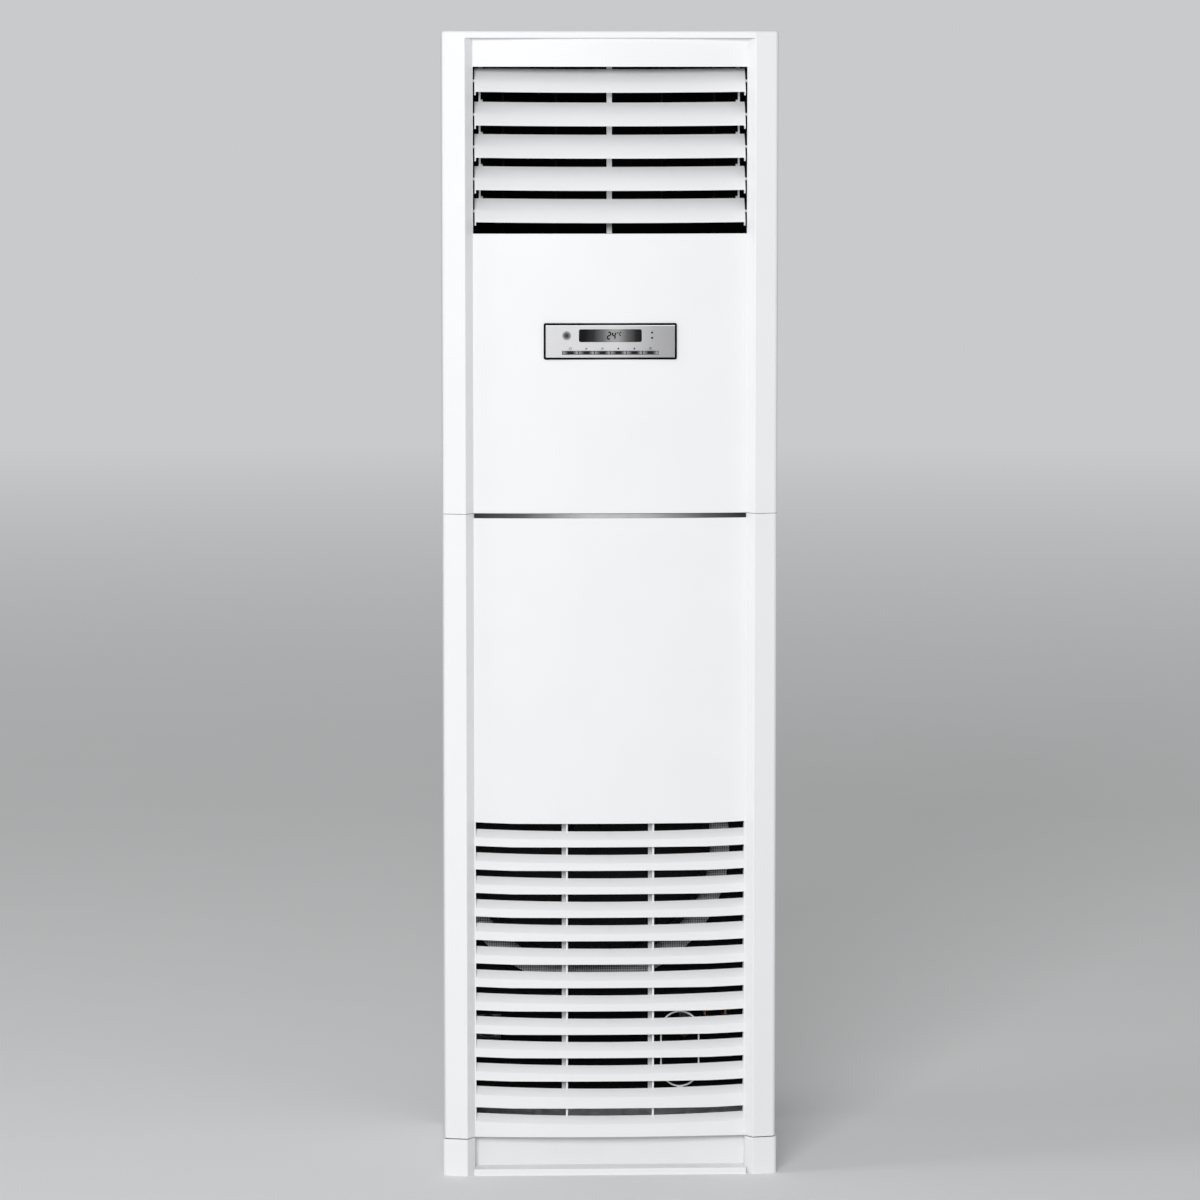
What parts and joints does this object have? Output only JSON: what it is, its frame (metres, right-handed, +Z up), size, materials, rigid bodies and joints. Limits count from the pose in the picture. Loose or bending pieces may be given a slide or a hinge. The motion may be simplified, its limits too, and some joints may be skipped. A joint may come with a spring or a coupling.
{
  "type": "floor standing air conditioner",
  "caption": "Tall white floor standing air conditioner with tilting outlet blades, a small display with keys and a slotted intake grille.",
  "frame": {"origin": "on the floor, under the middle of the cabinet's outline", "axes": "+X to the right as seen from the front, +Y to the rear, +Z up; the front faces -Y"},
  "size_m": [0.535, 0.41, 1.825],
  "materials": {
    "white_plastic": "satin moulded plastic",
    "white_steel": "white powder coat",
    "galvanised_steel": "galvanised",
    "black_plastic": "fine texture",
    "wheel_plastic": "fine texture",
    "light_grey_plastic": "fine texture",
    "net_fibre": "woven net",
    "pull_plastic": "satin",
    "bright_trim": "polished",
    "dark_chrome": "polished dark",
    "silver_fascia": "satin silver",
    "display_glass": "glossy",
    "infrared_lens": "glossy",
    "lamp_lens": "glossy",
    "key_plastic": "glossy",
    "circuit_board": "solder mask",
    "terminal_plastic": "moulded",
    "fin_aluminium": "bare",
    "copper": "drawn tube",
    "brass": "turned",
    "pan_plastic": "moulded",
    "hose_plastic": "smooth",
    "motor_paint": "satin",
    "zinc_steel": "zinc plated",
    "rubber": "matte"
  },
  "bodies": {
    "cabinet": {"base_pan": "galvanised_steel", "plinth_cover": "white_plastic", "left_side_panel": "white_steel", "right_side_panel": "white_steel", "rear_panel_upper": "galvanised_steel", "rear_panel_lower": "galvanised_steel", "top_cover": "white_plastic", "upper_front_panel": "white_plastic", "outlet_duct": "black_plastic", "blower_deck": "galvanised_steel", "wall_bracket": "galvanised_steel", "evaporator_fins": "fin_aluminium", "evaporator_tubes": "copper", "coil_frame": "galvanised_steel", "gas_pipe": "copper", "liquid_pipe": "copper", "flare_nuts": "brass", "drain_pan": "pan_plastic", "drain_hose": "hose_plastic", "scroll_casing": "black_plastic", "bellmouth": "light_grey_plastic", "fan_motor": "motor_paint", "electrical_box": "galvanised_steel", "electrical_cover": "galvanised_steel", "control_board": "circuit_board", "terminal_block": "terminal_plastic", "cable_grommet": "rubber", "display_bezel": "dark_chrome", "display_fascia": "silver_fascia", "display_window": "display_glass", "display_board": "circuit_board", "receiver_lens": "infrared_lens", "indicator_lamps": "lamp_lens", "cabinet_screws": "zinc_steel", "swing_motor": "zinc_steel"},
    "blower": {"blower_wheel": "wheel_plastic", "motor_shaft": "zinc_steel"},
    "intake_panel": {"lower_front_panel": "white_plastic", "trim_strip": "bright_trim"},
    "filter": {"filter_frame": "light_grey_plastic", "filter_net": "net_fibre", "filter_pull": "pull_plastic"},
    "power_button": {"power_button": "key_plastic"},
    "mode_button": {"mode_button": "key_plastic"},
    "fan_speed_button": {"fan_speed_button": "key_plastic"},
    "raise_button": {"raise_button": "key_plastic"},
    "lower_button": {"lower_button": "key_plastic"},
    "timer_button": {"timer_button": "key_plastic"},
    "louver_1": {"louver_1": "white_plastic"},
    "louver_2": {"louver_2": "white_plastic"},
    "louver_3": {"louver_3": "white_plastic"},
    "louver_4": {"louver_4": "white_plastic"},
    "louver_5": {"louver_5": "white_plastic"},
    "vane_1": {"vane_1": "black_plastic"},
    "vane_2": {"vane_2": "black_plastic"},
    "vane_3": {"vane_3": "black_plastic"},
    "vane_4": {"vane_4": "black_plastic"},
    "vane_5": {"vane_5": "black_plastic"},
    "tie_bars": {"tie_bars": "white_plastic"},
    "vane_link": {"vane_link": "black_plastic"}
  },
  "joints": [
    {"name": "louver_1_tilt", "type": "hinge", "parent": "cabinet", "child": "louver_1", "pos_m": [0, -0.178, 1.7467], "axis": [1, 0, 0], "range_deg": [-49, 41]},
    {"name": "louver_2_tilt", "type": "hinge", "parent": "cabinet", "child": "louver_2", "pos_m": [0, -0.178, 1.6941], "axis": [1, 0, 0], "range_deg": [-49, 41]},
    {"name": "louver_3_tilt", "type": "hinge", "parent": "cabinet", "child": "louver_3", "pos_m": [0, -0.178, 1.6435], "axis": [1, 0, 0], "range_deg": [-49, 41]},
    {"name": "louver_4_tilt", "type": "hinge", "parent": "cabinet", "child": "louver_4", "pos_m": [0, -0.178, 1.5929], "axis": [1, 0, 0], "range_deg": [-49, 41]},
    {"name": "louver_5_tilt", "type": "hinge", "parent": "cabinet", "child": "louver_5", "pos_m": [0, -0.178, 1.5423], "axis": [1, 0, 0], "range_deg": [-49, 41]},
    {"name": "tie_bars_swing", "type": "hinge", "parent": "louver_1", "child": "tie_bars", "pos_m": [0, -0.15248, 1.76691], "axis": [1, 0, 0], "range_deg": [-41, 49]},
    {"name": "vane_1_swing", "type": "hinge", "parent": "cabinet", "child": "vane_1", "pos_m": [-0.168, -0.104, 1.65], "axis": [0, 0, 1], "range_deg": [-30, 30]},
    {"name": "vane_2_swing", "type": "hinge", "parent": "cabinet", "child": "vane_2", "pos_m": [-0.084, -0.104, 1.65], "axis": [0, 0, 1], "range_deg": [-30, 30]},
    {"name": "vane_3_swing", "type": "hinge", "parent": "cabinet", "child": "vane_3", "pos_m": [0, -0.104, 1.65], "axis": [0, 0, 1], "range_deg": [-30, 30]},
    {"name": "vane_4_swing", "type": "hinge", "parent": "cabinet", "child": "vane_4", "pos_m": [0.084, -0.104, 1.65], "axis": [0, 0, 1], "range_deg": [-30, 30]},
    {"name": "vane_5_swing", "type": "hinge", "parent": "cabinet", "child": "vane_5", "pos_m": [0.168, -0.104, 1.65], "axis": [0, 0, 1], "range_deg": [-30, 30]},
    {"name": "vane_link_swing", "type": "hinge", "parent": "vane_3", "child": "vane_link", "pos_m": [0, -0.08, 1.515], "axis": [0, 0, 1], "range_deg": [-30, 30]},
    {"name": "blower_spin", "type": "hinge", "parent": "cabinet", "child": "blower", "pos_m": [-0.034, 0, 0.525], "axis": [0, 1, 0], "continuous": true},
    {"name": "power_button_press", "type": "slide", "parent": "cabinet", "child": "power_button", "axis": [0, 1, 0], "range_m": [0, 0.0008], "stiffness_N_per_m": 1000, "springref_m": -0.001},
    {"name": "mode_button_press", "type": "slide", "parent": "cabinet", "child": "mode_button", "axis": [0, 1, 0], "range_m": [0, 0.0008], "stiffness_N_per_m": 1000, "springref_m": -0.001},
    {"name": "fan_speed_button_press", "type": "slide", "parent": "cabinet", "child": "fan_speed_button", "axis": [0, 1, 0], "range_m": [0, 0.0008], "stiffness_N_per_m": 1000, "springref_m": -0.001},
    {"name": "raise_button_press", "type": "slide", "parent": "cabinet", "child": "raise_button", "axis": [0, 1, 0], "range_m": [0, 0.0008], "stiffness_N_per_m": 1000, "springref_m": -0.001},
    {"name": "lower_button_press", "type": "slide", "parent": "cabinet", "child": "lower_button", "axis": [0, 1, 0], "range_m": [0, 0.0008], "stiffness_N_per_m": 1000, "springref_m": -0.001},
    {"name": "timer_button_press", "type": "slide", "parent": "cabinet", "child": "timer_button", "axis": [0, 1, 0], "range_m": [0, 0.0008], "stiffness_N_per_m": 1000, "springref_m": -0.001},
    {"name": "intake_panel_pull", "type": "slide", "parent": "cabinet", "child": "intake_panel", "axis": [0, -1, 0], "range_m": [0, 0.12]},
    {"name": "filter_lift", "type": "slide", "parent": "intake_panel", "child": "filter", "axis": [0, 0, 1], "range_m": [0, 0.44]}
  ],
  "couplings": [
    {"joint": "louver_2_tilt", "follows": "louver_1_tilt", "ratio": 1},
    {"joint": "louver_3_tilt", "follows": "louver_1_tilt", "ratio": 1},
    {"joint": "louver_4_tilt", "follows": "louver_1_tilt", "ratio": 1},
    {"joint": "louver_5_tilt", "follows": "louver_1_tilt", "ratio": 1},
    {"joint": "tie_bars_swing", "follows": "louver_1_tilt", "ratio": -1},
    {"joint": "vane_1_swing", "follows": "vane_3_swing", "ratio": 1},
    {"joint": "vane_2_swing", "follows": "vane_3_swing", "ratio": 1},
    {"joint": "vane_4_swing", "follows": "vane_3_swing", "ratio": 1},
    {"joint": "vane_5_swing", "follows": "vane_3_swing", "ratio": 1},
    {"joint": "vane_link_swing", "follows": "vane_3_swing", "ratio": -1}
  ]
}
